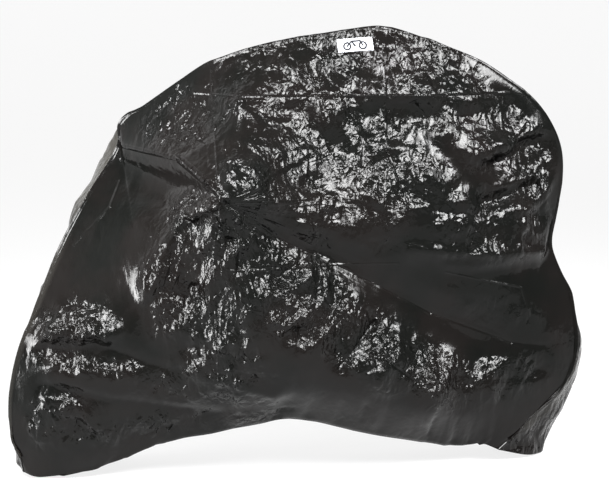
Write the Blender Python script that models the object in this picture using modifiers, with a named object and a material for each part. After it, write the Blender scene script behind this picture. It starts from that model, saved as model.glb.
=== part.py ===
"""Fitted film cover draped over a bicycle, the bicycle left out.

Metres. X runs along the bicycle, its front towards -X; -Y is the near side; Z is up.
The floor under the middle of the cover is the origin. Two side panels meet in one
seam that runs from the front corner of the hem over the top to the rear corner, and
each panel ends below in its own drawn-in hem, which is part of its cloth.
"""

import math

import bmesh
import bpy
import numpy as np
from mathutils import Vector
from mathutils.bvhtree import BVHTree

SHEET = 0.002  # film thickness
SEAM_GAP = 0.0008  # air between the two seam flanges
FLANGE = 0.009  # width of the seam flange
CURL = 0.058  # how far the hem is drawn in under
COLUMNS, ROWS, CURL_ROWS = 52, 19, 3
MIDDLE = (0.0, 0.0, 0.55)

# One row per section from the front corner of the hem to the rear one:
# name, seam x y z, near hem x y z, far hem x y z
SECTIONS = (
    ("toe", -0.803, -0.070, 0.060, -0.797, -0.066, 0.014, -0.797, -0.066, 0.014),
    ("toe_up", -0.822, -0.077, 0.105, -0.765, -0.088, 0.006, -0.800, -0.012, 0.004),
    ("tyre_low", -0.828, -0.080, 0.160, -0.725, -0.094, 0.006, -0.768, 0.040, 0.003),
    ("tyre", -0.826, -0.080, 0.245, -0.680, -0.098, 0.010, -0.715, 0.070, 0.006),
    ("tyre_top", -0.804, -0.070, 0.350, -0.623, -0.102, 0.020, -0.650, 0.090, 0.014),
    ("brake", -0.759, -0.040, 0.460, -0.575, -0.105, 0.034, -0.590, 0.105, 0.026),
    ("fork", -0.698, 0.015, 0.600, -0.525, -0.108, 0.050, -0.530, 0.115, 0.042),
    ("stem", -0.620, 0.090, 0.738, -0.485, -0.112, 0.070, -0.470, 0.120, 0.058),
    ("far_grip", -0.511, 0.205, 0.893, -0.438, -0.117, 0.090, -0.410, 0.122, 0.075),
    ("grip_top", -0.497, 0.188, 0.975, -0.388, -0.122, 0.104, -0.350, 0.120, 0.090),
    ("bar_side", -0.411, 0.135, 1.036, -0.318, -0.130, 0.118, -0.280, 0.120, 0.105),
    ("cowl", -0.270, 0.075, 1.136, -0.234, -0.140, 0.134, -0.200, 0.124, 0.120),
    ("rise", -0.138, 0.035, 1.192, -0.142, -0.150, 0.152, -0.120, 0.128, 0.135),
    ("crown", 0.030, 0.010, 1.224, -0.052, -0.155, 0.164, -0.040, 0.130, 0.145),
    ("label", 0.211, 0.000, 1.246, 0.090, -0.152, 0.134, 0.050, 0.130, 0.130),
    ("saddle", 0.369, 0.000, 1.210, 0.208, -0.140, 0.102, 0.170, 0.128, 0.105),
    ("shoulder", 0.530, 0.000, 1.140, 0.292, -0.126, 0.080, 0.290, 0.124, 0.080),
    ("back", 0.666, 0.000, 1.044, 0.354, -0.114, 0.066, 0.400, 0.118, 0.055),
    ("tail", 0.748, 0.000, 0.918, 0.397, -0.104, 0.058, 0.500, 0.108, 0.035),
    ("tail_low", 0.756, 0.000, 0.775, 0.435, -0.097, 0.053, 0.590, 0.094, 0.018),
    ("pinch", 0.732, -0.005, 0.612, 0.466, -0.092, 0.052, 0.668, 0.068, 0.006),
    ("rear_up", 0.790, -0.020, 0.470, 0.489, -0.090, 0.052, 0.716, 0.036, 0.001),
    ("rear", 0.802, -0.048, 0.325, 0.505, -0.090, 0.052, 0.724, 0.002, 0.001),
    ("rear_low", 0.758, -0.078, 0.215, 0.518, -0.093, 0.051, 0.704, -0.036, 0.003),
    ("heel", 0.656, -0.100, 0.130, 0.531, -0.096, 0.050, 0.650, -0.072, 0.010),
    ("heel_end", 0.592, -0.104, 0.064, 0.563, -0.100, 0.036, 0.563, -0.100, 0.036),
)

# The far film on the way from the seam to its hem, one row per section:
# name, outer edge x y z, belly x y z
FAR = (
    ("toe", -0.801, -0.069, 0.045, -0.799, -0.067, 0.029),
    ("toe_up", -0.828, -0.045, 0.085, -0.818, -0.020, 0.050),
    ("tyre_low", -0.836, -0.035, 0.140, -0.812, 0.015, 0.075),
    ("tyre", -0.836, -0.025, 0.228, -0.780, 0.055, 0.120),
    ("tyre_top", -0.814, -0.010, 0.330, -0.725, 0.090, 0.180),
    ("brake", -0.770, 0.020, 0.440, -0.660, 0.125, 0.240),
    ("fork", -0.712, 0.080, 0.580, -0.590, 0.165, 0.320),
    ("stem", -0.642, 0.160, 0.722, -0.525, 0.205, 0.400),
    ("far_grip", -0.545, 0.268, 0.880, -0.455, 0.225, 0.480),
    ("grip_top", -0.500, 0.254, 0.930, -0.385, 0.230, 0.520),
    ("bar_side", -0.395, 0.208, 0.960, -0.310, 0.225, 0.540),
    ("cowl", -0.255, 0.150, 1.040, -0.220, 0.225, 0.560),
    ("rise", -0.130, 0.105, 1.095, -0.125, 0.220, 0.560),
    ("crown", 0.022, 0.080, 1.120, -0.015, 0.215, 0.540),
    ("label", 0.200, 0.070, 1.140, 0.110, 0.205, 0.520),
    ("saddle", 0.352, 0.065, 1.110, 0.255, 0.190, 0.500),
    ("shoulder", 0.505, 0.060, 1.040, 0.385, 0.175, 0.460),
    ("back", 0.637, 0.058, 0.950, 0.500, 0.160, 0.420),
    ("tail", 0.722, 0.055, 0.840, 0.595, 0.145, 0.360),
    ("tail_low", 0.744, 0.052, 0.710, 0.665, 0.130, 0.300),
    ("pinch", 0.744, 0.045, 0.570, 0.722, 0.105, 0.250),
    ("rear_up", 0.806, 0.035, 0.440, 0.778, 0.080, 0.205),
    ("rear", 0.826, 0.022, 0.290, 0.790, 0.050, 0.140),
    ("rear_low", 0.810, 0.005, 0.190, 0.772, 0.015, 0.095),
    ("heel", 0.730, -0.045, 0.112, 0.706, -0.040, 0.060),
    ("heel_end", 0.583, -0.103, 0.055, 0.573, -0.102, 0.046),
)

# How far the near film stands towards -Y: name, x, z, depth
DEPTHS = (
    ("near_grip", -0.259, 0.808, 0.285),
    ("bar_near", -0.312, 0.868, 0.185),
    ("bar_mid", -0.374, 0.892, 0.055),
    ("bar_far", -0.437, 0.902, -0.070),
    ("over_grip", -0.215, 0.978, 0.150),
    ("over_bar", -0.360, 0.980, -0.020),
    ("under_bar", -0.380, 0.800, 0.060),
    ("facet", -0.439, 0.710, 0.105),
    ("facet_front", -0.546, 0.647, 0.055),
    ("curtain", -0.257, 0.528, 0.265),
    ("curtain_low", -0.256, 0.298, 0.240),
    ("pleats", -0.362, 0.521, 0.215),
    ("pleats_low", -0.417, 0.381, 0.190),
    ("wheel_high", -0.580, 0.437, 0.150),
    ("wheel_edge", -0.689, 0.398, 0.112),
    ("wheel_front", -0.748, 0.219, 0.124),
    ("wheel", -0.582, 0.295, 0.168),
    ("wheel_low", -0.584, 0.145, 0.152),
    ("toe_face", -0.722, 0.108, 0.124),
    ("top_front", -0.007, 1.134, 0.048),
    ("top_rear", 0.277, 1.132, 0.050),
    ("top_back", 0.509, 1.044, 0.046),
    ("seat_front", -0.019, 0.919, 0.135),
    ("seat", 0.239, 0.912, 0.128),
    ("seat_rear", 0.501, 0.850, 0.110),
    ("tail_face", 0.689, 0.812, 0.045),
    ("apron_front", -0.033, 0.738, 0.238),
    ("apron", 0.230, 0.722, 0.200),
    ("apron_rear", 0.499, 0.652, 0.150),
    ("pinch_face", 0.700, 0.640, 0.042),
    ("valley_front", -0.117, 0.690, 0.262),
    ("valley", 0.030, 0.632, 0.215),
    ("valley_mid", 0.220, 0.525, 0.180),
    ("valley_rear", 0.410, 0.438, 0.150),
    ("valley_low", 0.563, 0.378, 0.132),
    ("valley_floor_1", 0.130, 0.545, 0.212),
    ("valley_floor_2", 0.340, 0.395, 0.166),
    ("valley_floor_3", 0.480, 0.320, 0.145),
    ("valley_end", 0.725, 0.330, 0.092),
    ("rear_face", 0.555, 0.481, 0.135),
    ("rear_top", 0.660, 0.467, 0.098),
    ("pedal_front", -0.120, 0.470, 0.300),
    ("pedal_top", 0.015, 0.415, 0.288),
    ("pedal", 0.160, 0.315, 0.275),
    ("pedal_rear", 0.345, 0.222, 0.242),
    ("skirt_front", -0.035, 0.265, 0.255),
    ("skirt", 0.249, 0.181, 0.212),
    ("skirt_rear", 0.399, 0.139, 0.168),
    ("heel_high", 0.542, 0.250, 0.152),
    ("heel_face", 0.485, 0.179, 0.168),
)

# Main folds of the near film: name, from x z, to x z, height towards -Y, half width
FOLDS = (
    ("bar_ridge_near", -0.262, 0.815, -0.290, 0.850, 0.020, 0.030),
    ("bar_ridge_mid", -0.290, 0.850, -0.354, 0.898, 0.024, 0.032),
    ("bar_ridge_far", -0.354, 0.898, -0.485, 0.906, 0.022, 0.034),
    ("bar_trough", -0.325, 0.806, -0.450, 0.835, -0.028, 0.045),
    ("bar_trough_far", -0.450, 0.835, -0.530, 0.850, -0.018, 0.040),
    ("valley_1", -0.235, 0.785, -0.117, 0.701, -0.018, 0.045),
    ("valley_2", -0.117, 0.701, 0.030, 0.640, -0.024, 0.055),
    ("valley_3", 0.030, 0.640, 0.175, 0.553, -0.020, 0.060),
    ("valley_4", 0.175, 0.553, 0.350, 0.455, -0.016, 0.060),
    ("valley_5", 0.350, 0.455, 0.530, 0.394, -0.012, 0.055),
    ("valley_6", 0.530, 0.394, 0.702, 0.338, -0.008, 0.050),
    ("pleat_1", -0.270, 0.790, -0.372, 0.740, 0.016, 0.035),
    ("pleat_2", -0.372, 0.740, -0.438, 0.560, 0.020, 0.035),
    ("pleat_3", -0.268, 0.780, -0.300, 0.520, 0.016, 0.030),
    ("pleat_4", -0.330, 0.620, -0.345, 0.320, -0.014, 0.035),
    ("ray_high", -0.245, 0.825, -0.170, 1.040, 0.014, 0.035),
    ("ray_level", -0.235, 0.810, 0.060, 0.790, 0.012, 0.035),
    ("pinch_ridge", 0.280, 0.640, 0.702, 0.610, 0.018, 0.035),
    ("pinch_trough", 0.400, 0.560, 0.715, 0.570, -0.014, 0.035),
    ("tail_crest", 0.530, 0.905, 0.725, 0.972, 0.016, 0.030),
    ("tail_trough", 0.540, 0.872, 0.744, 0.938, -0.020, 0.035),
    ("tail_trough_low", 0.505, 0.758, 0.672, 0.800, -0.016, 0.032),
    ("wheel_shelf", -0.740, 0.420, -0.600, 0.425, 0.018, 0.040),
    ("wheel_dip", -0.720, 0.375, -0.560, 0.375, -0.008, 0.035),
    ("wheel_brow", -0.700, 0.325, -0.500, 0.290, 0.016, 0.040),
    ("wheel_fold_1", -0.738, 0.275, -0.560, 0.238, -0.014, 0.032),
    ("wheel_fold_2", -0.560, 0.238, -0.255, 0.192, -0.014, 0.032),
    ("wheel_fold_3", -0.742, 0.222, -0.590, 0.135, -0.014, 0.030),
    ("skirt_ridge", -0.325, 0.322, -0.107, 0.250, 0.014, 0.035),
    ("pack_fold", -0.200, 1.062, 0.480, 1.062, 0.010, 0.040),
    ("hem_tuck", -0.075, 0.230, -0.062, 0.160, -0.018, 0.030),
)

# name, red, green, blue, roughness
FINISHES = (
    ("film", 0.022, 0.021, 0.020, 0.25),
    ("sticker", 0.85, 0.86, 0.88, 0.45),
)

LABEL_SIZE = (0.099, 0.037, 0.0008)
LABEL_AT = (0.151, 1.202)
LABEL_TURN = math.radians(4)
LABEL_GAP = 0.0010


def spline(rows, u):
    """Smooth curve through the rows, u running 0 to 1 over them."""
    n = len(rows)
    place = np.clip(u, 0, 1) * (n - 1)
    i = np.minimum(place.astype(int), n - 2)
    f = (place - i)[:, None]
    pad = np.vstack([2 * rows[0] - rows[1], rows, 2 * rows[-1] - rows[-2]])
    a, b, c, d = pad[i], pad[i + 1], pad[i + 2], pad[i + 3]
    return b + f * ((c - a) + f * ((2 * a - 5 * b + 4 * c - d) + f * (3 * b - a - 3 * c + d))) / 2


def unit(v):
    return v / np.maximum(np.linalg.norm(v, axis=-1, keepdims=True), 1e-9)


def plate_kernel(r):
    return r * r * np.log(np.maximum(r, 1e-6))


def depth_solver(sections):
    """Thin plate through the depth table, the seam and the near hem."""
    known = [(x, z, d) for _, x, z, d in DEPTHS]
    known += [(r[0], r[2], -r[1]) for r in sections] + [(r[3], r[5], -r[4]) for r in sections[1:-1]]
    known = np.array(known)
    at, value = known[:, :2], known[:, 2]
    n = len(at)
    r = np.linalg.norm(at[:, None] - at[None], axis=2)
    full = np.zeros((n + 3, n + 3))
    full[:n, :n] = plate_kernel(r) + 2e-4 * np.eye(n)
    full[:n, n:] = np.c_[np.ones(n), at]
    full[n:, :n] = full[:n, n:].T
    weight = np.linalg.solve(full, np.r_[value, 0, 0, 0])

    def depth(x, z):
        p = np.stack([x.ravel(), z.ravel()], 1)
        near = plate_kernel(np.linalg.norm(p[:, None] - at[None], axis=2)) @ weight[:n]
        return (near + np.c_[np.ones(len(p)), p] @ weight[n:]).reshape(x.shape)

    return depth


def folds(table, x, z):
    """The highest crest and the deepest trough of the table at each x, z; they die out at both ends."""
    crest, trough = np.zeros_like(x), np.zeros_like(x)
    for _, x0, z0, x1, z1, height, width in table:
        along = np.array([x1 - x0, z1 - z0])
        length = np.linalg.norm(along)
        along = along / length
        u = ((x - x0) * along[0] + (z - z0) * along[1]) / length
        v = (x - x0) * -along[1] + (z - z0) * along[0]
        over = np.maximum(np.abs(u - 0.5) - 0.5, 0) * length / width
        shape = height * np.exp(-((v / width) ** 2) - over**2)
        crest, trough = np.maximum(crest, shape), np.minimum(trough, shape)
    return crest + trough


def far_profile(stations, v):
    """Smooth curve per column through seam, edge, belly and hem; v runs 0 to 1 from the seam."""
    step = np.linalg.norm(np.diff(stations, axis=0), axis=2)
    knots = np.vstack([np.zeros(step.shape[1]), np.cumsum(step, axis=0)])
    knots = knots / knots[-1]
    slope = np.diff(stations, axis=0) / np.diff(knots, axis=0)[..., None]
    w = np.diff(knots, axis=0)[..., None]
    inner = (slope[:-1] * w[1:] + slope[1:] * w[:-1]) / (w[1:] + w[:-1])
    tangent = np.concatenate([slope[:1], inner, slope[-1:]])
    out = np.zeros((len(v),) + stations.shape[1:])
    for i in range(3):
        k0, k1 = knots[i], knots[i + 1]
        f = (v[:, None] - k0) / (k1 - k0)
        here = ((f >= 0) if i == 0 else (f > 0)) & (f <= 1 + 1e-9)
        f = f[..., None]
        h = (k1 - k0)[:, None]
        curve = (
            (2 * f**3 - 3 * f**2 + 1) * stations[i]
            + (f**3 - 2 * f**2 + f) * h * tangent[i]
            + (3 * f**2 - 2 * f**3) * stations[i + 1]
            + (f**3 - f**2) * h * tangent[i + 1]
        )
        out = np.where(here[..., None], curve, out)
    return out


def panels():
    """Mid-surfaces of the near and far panel as rows (hem curl, body, flange) by columns."""
    table = np.array([row[1:] for row in SECTIONS])
    far_table = np.array([row[1:] for row in FAR])
    u = np.linspace(0, 1, COLUMNS)
    t = np.linspace(0, 1, ROWS)[:, None]
    rows = spline(table, u)
    seam, near_hem, far_hem = rows[:, :3], rows[:, 3:6], rows[:, 6:]
    depth = depth_solver(table)

    x = near_hem[:, 0] + (seam[:, 0] - near_hem[:, 0]) * t
    z = near_hem[:, 2] + (seam[:, 2] - near_hem[:, 2]) * t
    d = depth(x, z) + folds(FOLDS, x, z) * np.clip(np.minimum(1 - t, t * 2) * 8, 0, 1)
    d += (-seam[:, 1] - d[-1]) * t**10 + (-near_hem[:, 1] - d[0]) * (1 - t) ** 8
    straight = seam[:, 1] * t + near_hem[:, 1] * (1 - t)
    blend = np.clip(np.minimum(u, 1 - u) * 50, 0, 1)
    near = np.stack([x, straight * (1 - blend) - d * blend, z], 2)

    stations = spline(far_table, u)
    stations = np.stack([seam, stations[:, :3], stations[:, 3:], far_hem])
    far = far_profile(stations, 1 - t[:, 0])

    tangent = unit(np.gradient(seam, axis=0))

    def leaving(film):
        away = film[-4] - seam
        return unit(away - (away * tangent).sum(1)[:, None] * tangent)

    across = unit(leaving(far) - leaving(near))
    across[:2], across[-3:] = across[2], across[-4]
    for _ in range(2):
        across[1:-1] = unit(across[1:-1] + 0.5 * (across[:-2] + across[2:]))
    across = unit(across - (across * tangent).sum(1)[:, None] * tangent)
    outward = np.cross(tangent, across)
    outward = outward * np.sign((outward * (seam - np.array(MIDDLE))).sum(1))[:, None]

    inward = []
    for hem, side in ((near_hem, -1), (far_hem, 1)):
        run = unit(np.gradient(hem[:, :2], axis=0))
        inward.append(np.stack([run[:, 1], -run[:, 0]], 1) * side)
    shared = unit(inward[0] + inward[1])
    own = np.clip(np.minimum(u, 1 - u) * 16, 0, 1)[:, None]
    width = np.linalg.norm(far_hem - near_hem, axis=1)
    reach = np.clip(0.30 * width / CURL, 0.05, 1)[:, None]
    apart = SHEET / 2 + SEAM_GAP / 2
    result = []
    for body, side, turn in ((near, -1, inward[0]), (far, 1, inward[1])):
        lift = side * apart * (1.7 - 0.7 * own) * across
        ends = (1 - blend)[None, :, None]
        body = body + lift[None] * np.maximum(t[..., None] ** 6, ends)
        flange = body[-1] + outward * FLANGE
        turn = unit(turn * own + shared * (1 - own))
        curls = []
        for k in range(CURL_ROWS, 0, -1):
            angle = math.radians(150) * k / CURL_ROWS
            move = np.zeros_like(seam)
            move[:, :2] = turn * CURL * (0.72 * math.sin(angle * 0.62) + 0.30 * k / CURL_ROWS)
            move[:, 2] = CURL * (0.42 * (1 - math.cos(angle)) - 0.10 * math.sin(angle))
            curls.append(body[0] + move * reach)
        result.append(np.concatenate([np.array(curls), body, flange[None]]))
    return result


def finish(name):
    """The Principled material of that name, made on first use."""
    found = bpy.data.materials.get(name)
    if found:
        return found
    color = {row[0]: row[1:] for row in FINISHES}[name]
    made = bpy.data.materials.new(name)
    made.use_nodes = True
    shader = made.node_tree.nodes["Principled BSDF"]
    shader.inputs["Base Color"].default_value = (*color[:3], 1)
    shader.inputs["Roughness"].default_value = color[3]
    shader.inputs["Metallic"].default_value = 0
    return made


def panel_object(name, grid, side):
    """A create_grid sheet laid on the rows and columns, then given its thickness."""
    rows, columns = grid.shape[:2]
    mesh = bmesh.new()
    bmesh.ops.create_grid(mesh, x_segments=columns - 1, y_segments=rows - 1, size=1)
    for vert in mesh.verts:
        j = round((vert.co.x + 1) / 2 * (columns - 1))
        i = round((vert.co.y + 1) / 2 * (rows - 1))
        vert.co = Vector(grid[i, j])
    bmesh.ops.recalc_face_normals(mesh, faces=mesh.faces)
    mesh.normal_update()
    facing = sum(face.normal.y * face.calc_area() for face in mesh.faces)
    if facing * side < 0:
        bmesh.ops.reverse_faces(mesh, faces=mesh.faces)
    bmesh.ops.triangulate(mesh, faces=mesh.faces, quad_method="SHORT_EDGE")
    data = bpy.data.meshes.new(name)
    mesh.to_mesh(data)
    mesh.free()
    piece = bpy.data.objects.new(name, data)
    bpy.context.scene.collection.objects.link(piece)
    data.materials.append(finish("film"))
    thicken = piece.modifiers.new("sheet", "SOLIDIFY")
    thicken.thickness = SHEET
    thicken.offset = 0
    return piece


def label_object(panel):
    """A thin plate lying on the outside of the near panel."""
    bpy.context.view_layer.update()
    tree = BVHTree.FromObject(panel, bpy.context.evaluated_depsgraph_get())
    wide, high, thick = LABEL_SIZE
    mesh = bmesh.new()
    bmesh.ops.create_grid(mesh, x_segments=10, y_segments=4, size=0.5)
    for vert in mesh.verts:
        a, b = vert.co.x * wide, vert.co.y * high
        x = LABEL_AT[0] + a * math.cos(LABEL_TURN) - b * math.sin(LABEL_TURN)
        z = LABEL_AT[1] + a * math.sin(LABEL_TURN) + b * math.cos(LABEL_TURN)
        hit, normal, _, _ = tree.ray_cast(Vector((x, -2, z)), Vector((0, 1, 0)))
        if hit is None:
            raise ValueError("the label misses the near panel")
        vert.co = hit + Vector((0, -1, 0.25)).normalized() * (LABEL_GAP + thick / 2)
    mesh.normal_update()
    if sum(face.normal.y for face in mesh.faces) > 0:
        bmesh.ops.reverse_faces(mesh, faces=mesh.faces)
    data = bpy.data.meshes.new("label")
    mesh.to_mesh(data)
    mesh.free()
    piece = bpy.data.objects.new("label", data)
    bpy.context.scene.collection.objects.link(piece)
    data.materials.append(finish("sticker"))
    thicken = piece.modifiers.new("sheet", "SOLIDIFY")
    thicken.thickness = thick
    thicken.offset = 0
    return piece


def main():
    for old in list(bpy.data.objects):
        bpy.data.objects.remove(old)
    near, far = panels()
    near_panel = panel_object("panel_near", near, -1)
    panel_object("panel_far", far, 1)
    label_object(near_panel)


main()
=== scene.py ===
"""Bicycle cover of thin glossy black film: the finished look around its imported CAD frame.

Metres. X runs along the bicycle, front towards -X; -Y is the near side; Z is up.
"""

import math

import bmesh
import bpy
import numpy as np
from bpy.props import FloatProperty, FloatVectorProperty, IntProperty, PointerProperty
from mathutils import Matrix, Vector
from mathutils.bvhtree import BVHTree


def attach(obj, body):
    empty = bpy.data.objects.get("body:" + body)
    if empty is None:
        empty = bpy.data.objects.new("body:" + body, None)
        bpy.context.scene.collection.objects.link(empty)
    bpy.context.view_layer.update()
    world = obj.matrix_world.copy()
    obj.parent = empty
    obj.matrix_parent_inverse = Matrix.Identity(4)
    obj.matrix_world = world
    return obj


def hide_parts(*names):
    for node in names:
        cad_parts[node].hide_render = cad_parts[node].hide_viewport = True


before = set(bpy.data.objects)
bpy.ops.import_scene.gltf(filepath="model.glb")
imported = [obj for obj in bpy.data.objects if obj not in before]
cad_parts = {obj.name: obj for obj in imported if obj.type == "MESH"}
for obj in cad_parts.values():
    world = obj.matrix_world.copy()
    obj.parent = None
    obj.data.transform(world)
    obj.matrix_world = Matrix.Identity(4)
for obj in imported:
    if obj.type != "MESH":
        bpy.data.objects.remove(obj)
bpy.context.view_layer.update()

bl_info = {
    "name": "Bicycle cover",
    "version": (1, 0, 0),
    "blender": (4, 5, 0),
    "location": "View3D > Sidebar > Cover",
    "description": "Draped film cover with its crinkles, label and studio",
    "category": "Add Mesh",
}

MIDDLE = (0.0, 0.0, 0.55)  # a point inside the cover, which the seam flange points away from
SEAM_GAP = 0.0008  # air between the two seam flanges

# One row per section from the front corner of the hem to the rear one:
# name, seam x y z, near hem x y z, far hem x y z
SECTIONS = (
    ("toe", -0.803, -0.070, 0.060, -0.797, -0.066, 0.014, -0.797, -0.066, 0.014),
    ("toe_up", -0.822, -0.077, 0.105, -0.765, -0.088, 0.006, -0.800, -0.012, 0.004),
    ("tyre_low", -0.828, -0.080, 0.160, -0.725, -0.094, 0.006, -0.768, 0.040, 0.003),
    ("tyre", -0.826, -0.080, 0.245, -0.680, -0.098, 0.010, -0.715, 0.070, 0.006),
    ("tyre_top", -0.804, -0.070, 0.350, -0.623, -0.102, 0.020, -0.650, 0.090, 0.014),
    ("brake", -0.759, -0.040, 0.460, -0.575, -0.105, 0.034, -0.590, 0.105, 0.026),
    ("fork", -0.698, 0.015, 0.600, -0.525, -0.108, 0.050, -0.530, 0.115, 0.042),
    ("stem", -0.620, 0.090, 0.738, -0.485, -0.112, 0.070, -0.470, 0.120, 0.058),
    ("far_grip", -0.511, 0.205, 0.893, -0.438, -0.117, 0.090, -0.410, 0.122, 0.075),
    ("grip_top", -0.497, 0.188, 0.975, -0.388, -0.122, 0.104, -0.350, 0.120, 0.090),
    ("bar_side", -0.411, 0.135, 1.036, -0.318, -0.130, 0.118, -0.280, 0.120, 0.105),
    ("cowl", -0.270, 0.075, 1.136, -0.234, -0.140, 0.134, -0.200, 0.124, 0.120),
    ("rise", -0.138, 0.035, 1.192, -0.142, -0.150, 0.152, -0.120, 0.128, 0.135),
    ("crown", 0.030, 0.010, 1.224, -0.052, -0.155, 0.164, -0.040, 0.130, 0.145),
    ("label", 0.211, 0.000, 1.246, 0.090, -0.152, 0.134, 0.050, 0.130, 0.130),
    ("saddle", 0.369, 0.000, 1.210, 0.208, -0.140, 0.102, 0.170, 0.128, 0.105),
    ("shoulder", 0.530, 0.000, 1.140, 0.292, -0.126, 0.080, 0.290, 0.124, 0.080),
    ("back", 0.666, 0.000, 1.044, 0.354, -0.114, 0.066, 0.400, 0.118, 0.055),
    ("tail", 0.748, 0.000, 0.918, 0.397, -0.104, 0.058, 0.500, 0.108, 0.035),
    ("tail_low", 0.756, 0.000, 0.775, 0.435, -0.097, 0.053, 0.590, 0.094, 0.018),
    ("pinch", 0.732, -0.005, 0.612, 0.466, -0.092, 0.052, 0.668, 0.068, 0.006),
    ("rear_up", 0.790, -0.020, 0.470, 0.489, -0.090, 0.052, 0.716, 0.036, 0.001),
    ("rear", 0.802, -0.048, 0.325, 0.505, -0.090, 0.052, 0.724, 0.002, 0.001),
    ("rear_low", 0.758, -0.078, 0.215, 0.518, -0.093, 0.051, 0.704, -0.036, 0.003),
    ("heel", 0.656, -0.100, 0.130, 0.531, -0.096, 0.050, 0.650, -0.072, 0.010),
    ("heel_end", 0.592, -0.104, 0.064, 0.563, -0.100, 0.036, 0.563, -0.100, 0.036),
)

# The far film on the way from the seam to its hem, one row per section:
# name, outer edge x y z, belly x y z
FAR = (
    ("toe", -0.801, -0.069, 0.045, -0.799, -0.067, 0.029),
    ("toe_up", -0.828, -0.045, 0.085, -0.818, -0.020, 0.050),
    ("tyre_low", -0.836, -0.035, 0.140, -0.812, 0.015, 0.075),
    ("tyre", -0.836, -0.025, 0.228, -0.780, 0.055, 0.120),
    ("tyre_top", -0.814, -0.010, 0.330, -0.725, 0.090, 0.180),
    ("brake", -0.770, 0.020, 0.440, -0.660, 0.125, 0.240),
    ("fork", -0.712, 0.080, 0.580, -0.590, 0.165, 0.320),
    ("stem", -0.642, 0.160, 0.722, -0.525, 0.205, 0.400),
    ("far_grip", -0.545, 0.268, 0.880, -0.455, 0.225, 0.480),
    ("grip_top", -0.500, 0.254, 0.930, -0.385, 0.230, 0.520),
    ("bar_side", -0.395, 0.208, 0.960, -0.310, 0.225, 0.540),
    ("cowl", -0.255, 0.150, 1.040, -0.220, 0.225, 0.560),
    ("rise", -0.130, 0.105, 1.095, -0.125, 0.220, 0.560),
    ("crown", 0.022, 0.080, 1.120, -0.015, 0.215, 0.540),
    ("label", 0.200, 0.070, 1.140, 0.110, 0.205, 0.520),
    ("saddle", 0.352, 0.065, 1.110, 0.255, 0.190, 0.500),
    ("shoulder", 0.505, 0.060, 1.040, 0.385, 0.175, 0.460),
    ("back", 0.637, 0.058, 0.950, 0.500, 0.160, 0.420),
    ("tail", 0.722, 0.055, 0.840, 0.595, 0.145, 0.360),
    ("tail_low", 0.744, 0.052, 0.710, 0.665, 0.130, 0.300),
    ("pinch", 0.744, 0.045, 0.570, 0.722, 0.105, 0.250),
    ("rear_up", 0.806, 0.035, 0.440, 0.778, 0.080, 0.205),
    ("rear", 0.826, 0.022, 0.290, 0.790, 0.050, 0.140),
    ("rear_low", 0.810, 0.005, 0.190, 0.772, 0.015, 0.095),
    ("heel", 0.730, -0.045, 0.112, 0.706, -0.040, 0.060),
    ("heel_end", 0.583, -0.103, 0.055, 0.573, -0.102, 0.046),
)

# How far the near film stands towards -Y: name, x, z, depth
DEPTHS = (
    ("near_grip", -0.259, 0.808, 0.285),
    ("bar_near", -0.312, 0.868, 0.185),
    ("bar_mid", -0.374, 0.892, 0.055),
    ("bar_far", -0.437, 0.902, -0.070),
    ("over_grip", -0.215, 0.978, 0.150),
    ("over_bar", -0.360, 0.980, -0.020),
    ("under_bar", -0.380, 0.800, 0.060),
    ("facet", -0.439, 0.710, 0.105),
    ("facet_front", -0.546, 0.647, 0.055),
    ("curtain", -0.257, 0.528, 0.265),
    ("curtain_low", -0.256, 0.298, 0.240),
    ("pleats", -0.362, 0.521, 0.215),
    ("pleats_low", -0.417, 0.381, 0.190),
    ("wheel_high", -0.580, 0.437, 0.150),
    ("wheel_edge", -0.689, 0.398, 0.112),
    ("wheel_front", -0.748, 0.219, 0.124),
    ("wheel", -0.582, 0.295, 0.168),
    ("wheel_low", -0.584, 0.145, 0.152),
    ("toe_face", -0.722, 0.108, 0.124),
    ("top_front", -0.007, 1.134, 0.048),
    ("top_rear", 0.277, 1.132, 0.050),
    ("top_back", 0.509, 1.044, 0.046),
    ("seat_front", -0.019, 0.919, 0.135),
    ("seat", 0.239, 0.912, 0.128),
    ("seat_rear", 0.501, 0.850, 0.110),
    ("tail_face", 0.689, 0.812, 0.045),
    ("apron_front", -0.033, 0.738, 0.238),
    ("apron", 0.230, 0.722, 0.200),
    ("apron_rear", 0.499, 0.652, 0.150),
    ("pinch_face", 0.700, 0.640, 0.042),
    ("valley_front", -0.117, 0.690, 0.262),
    ("valley", 0.030, 0.632, 0.215),
    ("valley_mid", 0.220, 0.525, 0.180),
    ("valley_rear", 0.410, 0.438, 0.150),
    ("valley_low", 0.563, 0.378, 0.132),
    ("valley_floor_1", 0.130, 0.545, 0.212),
    ("valley_floor_2", 0.340, 0.395, 0.166),
    ("valley_floor_3", 0.480, 0.320, 0.145),
    ("valley_end", 0.725, 0.330, 0.092),
    ("rear_face", 0.555, 0.481, 0.135),
    ("rear_top", 0.660, 0.467, 0.098),
    ("pedal_front", -0.120, 0.470, 0.300),
    ("pedal_top", 0.015, 0.415, 0.288),
    ("pedal", 0.160, 0.315, 0.275),
    ("pedal_rear", 0.345, 0.222, 0.242),
    ("skirt_front", -0.035, 0.265, 0.255),
    ("skirt", 0.249, 0.181, 0.212),
    ("skirt_rear", 0.399, 0.139, 0.168),
    ("heel_high", 0.542, 0.250, 0.152),
    ("heel_face", 0.485, 0.179, 0.168),
)

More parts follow.
